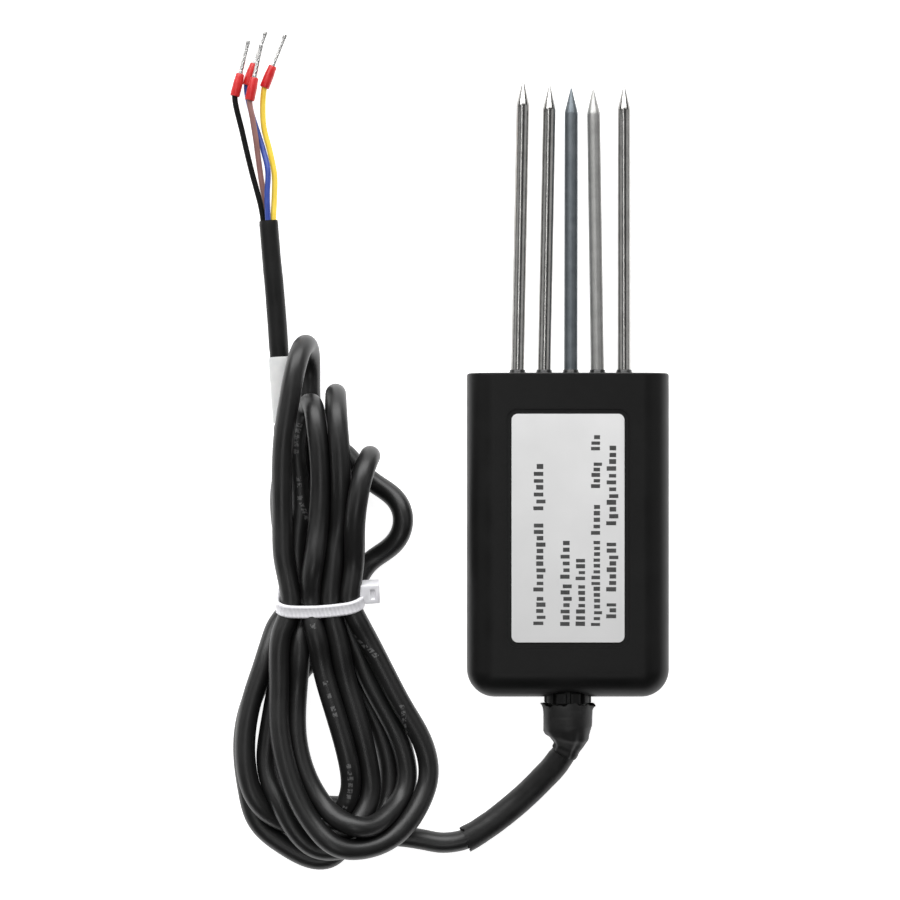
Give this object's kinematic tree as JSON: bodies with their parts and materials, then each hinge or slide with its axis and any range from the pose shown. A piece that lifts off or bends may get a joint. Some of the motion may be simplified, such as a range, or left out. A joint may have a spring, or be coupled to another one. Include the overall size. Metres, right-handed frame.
{
  "type": "soil moisture sensor",
  "caption": "Potted soil sensor: flat black housing with pointed metal probes on one end and a tied hank of signal cable with ferrule-tipped wires.",
  "frame": {"origin": "centre of the box around the housing, bushing and probes, on the table surface that the back of the housing lies on", "axes": "+Y towards the probe tips, +Z out of the labelled front, +X to the right when looking at the label with the probes up"},
  "size_m": [0.0983, 0.188, 0.0215],
  "materials": {
    "housing": "satin black moulded plastic with large soft highlights",
    "resin": "black epoxy potting, slightly uneven, with a small meniscus at each probe",
    "label": "silver-white film label with abstract dark print bars",
    "probe_steel": "turned and polished stainless steel",
    "electrode_dark": "dull blue-grey electrode metal",
    "electrode_pale": "dull pale grey electrode metal",
    "circuit_board": "green solder mask on glass-fibre board",
    "chip_body": "black moulded component bodies",
    "solder": "bright solder and metal cans",
    "cable_jacket": "black flexible cable jacket, satin",
    "heat_shrink": "black heat-shrink sleeve",
    "marker": "white marker sleeve",
    "wire_black": "black wire insulation",
    "wire_brown": "brown wire insulation",
    "wire_blue": "blue wire insulation",
    "wire_yellow": "yellow wire insulation",
    "ferrule_plastic": "red moulded ferrule collar",
    "tinned_copper": "tinned copper tube, crimped",
    "nylon": "white nylon with fine moulded ridges"
  },
  "bodies": {
    "root": {"housing_shell": "housing", "resin_fill": "resin", "label": "label", "probe_1_steel": "probe_steel", "probe_2_steel": "probe_steel", "probe_3_electrode": "electrode_dark", "probe_4_electrode": "electrode_pale", "probe_5_steel": "probe_steel", "probe_joint_1": "solder", "probe_joint_2": "solder", "probe_joint_3": "solder", "probe_joint_4": "solder", "probe_joint_5": "solder", "circuit_board": "circuit_board", "microcontroller": "chip_body", "signal_amplifier": "chip_body", "bus_transceiver": "chip_body", "voltage_regulator": "chip_body", "protection_diode": "chip_body", "power_inductor": "chip_body", "input_capacitor": "solder", "output_capacitor": "solder", "crystal": "solder", "temperature_sensor": "chip_body", "inner_lead_black": "wire_black", "inner_lead_brown": "wire_brown", "inner_lead_blue": "wire_blue", "inner_lead_yellow": "wire_yellow", "cable_bushing": "housing", "boot_sleeve": "heat_shrink", "lead_sleeve": "heat_shrink", "cable_lead": "cable_jacket", "cable_hank": "cable_jacket", "cable_tail": "cable_jacket", "end_sleeve": "heat_shrink", "marker_sleeve": "marker", "wire_black": "wire_black", "wire_brown": "wire_brown", "wire_blue": "wire_blue", "wire_yellow": "wire_yellow", "ferrule_collar_black": "ferrule_plastic", "ferrule_collar_brown": "ferrule_plastic", "ferrule_collar_blue": "ferrule_plastic", "ferrule_collar_yellow": "ferrule_plastic", "ferrule_tube_black": "tinned_copper", "ferrule_tube_brown": "tinned_copper", "ferrule_tube_blue": "tinned_copper", "ferrule_tube_yellow": "tinned_copper", "tie_strap": "nylon", "tie_head": "nylon"}
  },
  "joints": []
}
